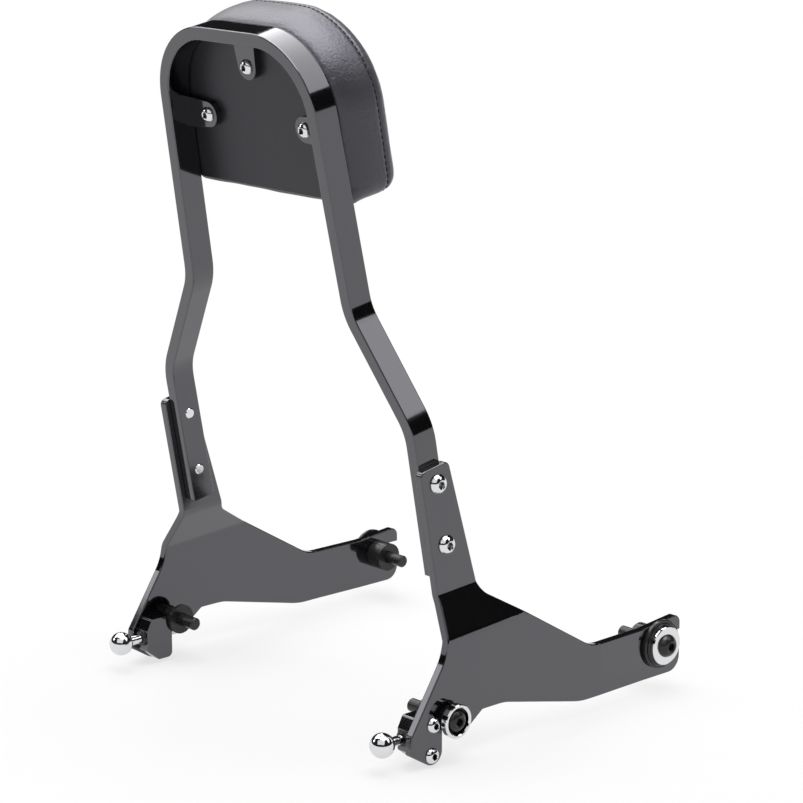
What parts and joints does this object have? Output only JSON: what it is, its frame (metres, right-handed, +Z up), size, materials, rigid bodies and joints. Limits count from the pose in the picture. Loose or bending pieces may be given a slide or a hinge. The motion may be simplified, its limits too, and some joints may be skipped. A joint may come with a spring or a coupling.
{
  "type": "motorcycle backrest",
  "caption": "Detachable motorcycle backrest: bent flat-bar hoop with padded cushion, joggled side plates that hook onto docking posts, and spring pull latches.",
  "frame": {"origin": "middle of the line through the two rear docking posts", "axes": "+X to the motorcycle's right, +Y forwards, +Z up"},
  "size_m": [0.3354, 0.2918, 0.4986],
  "materials": {
    "black_powder_coat": "gloss black powder coat",
    "chrome_plate": "polished chrome plate",
    "black_oxide": "satin black oxide",
    "black_vinyl": "fine grained black vinyl",
    "back_panel_vinyl": "plain matte black vinyl",
    "foam": "cut polyurethane foam",
    "plywood": "raw plywood",
    "zinc_steel": "bright zinc plate"
  },
  "bodies": {
    "frame": {"hoop": "black_powder_coat", "top_pad_tab": "black_powder_coat", "left_pad_tab": "black_powder_coat", "right_pad_tab": "black_powder_coat", "pad_screws": "chrome_plate", "pad_cover": "black_vinyl", "pad_back_panel": "back_panel_vinyl", "pad_board": "plywood", "pad_foam": "foam", "pad_tee_nuts": "zinc_steel", "left_side_plate": "black_powder_coat", "left_hoop_bolts": "chrome_plate", "left_front_bushing": "black_oxide", "left_front_washer": "chrome_plate", "left_front_bolt": "black_oxide", "left_rear_bushing": "black_oxide", "left_rear_cup": "chrome_plate", "left_rear_bolt": "black_oxide", "left_latch_block": "black_powder_coat", "left_latch_cap": "black_oxide", "left_latch_spring": "zinc_steel", "left_latch_screws": "chrome_plate", "right_side_plate": "black_powder_coat", "right_hoop_bolts": "chrome_plate", "right_front_bushing": "black_oxide", "right_front_washer": "chrome_plate", "right_front_bolt": "black_oxide", "right_rear_bushing": "black_oxide", "right_rear_cup": "chrome_plate", "right_rear_bolt": "black_oxide", "right_latch_block": "black_powder_coat", "right_latch_cap": "black_oxide", "right_latch_spring": "zinc_steel", "right_latch_screws": "chrome_plate"},
    "left_latch": {"left_latch_plunger": "zinc_steel", "left_latch_knob": "chrome_plate"},
    "right_latch": {"right_latch_plunger": "zinc_steel", "right_latch_knob": "chrome_plate"}
  },
  "joints": [
    {"name": "left_latch_pull", "type": "slide", "parent": "frame", "child": "left_latch", "axis": [0, -1, 0], "range_m": [0, 0.0095], "stiffness_N_per_m": 700, "springref_m": -0.006, "deforming": ["left_latch_spring"]},
    {"name": "right_latch_pull", "type": "slide", "parent": "frame", "child": "right_latch", "axis": [0, -1, 0], "range_m": [0, 0.0095], "stiffness_N_per_m": 700, "springref_m": -0.006, "deforming": ["right_latch_spring"]}
  ]
}
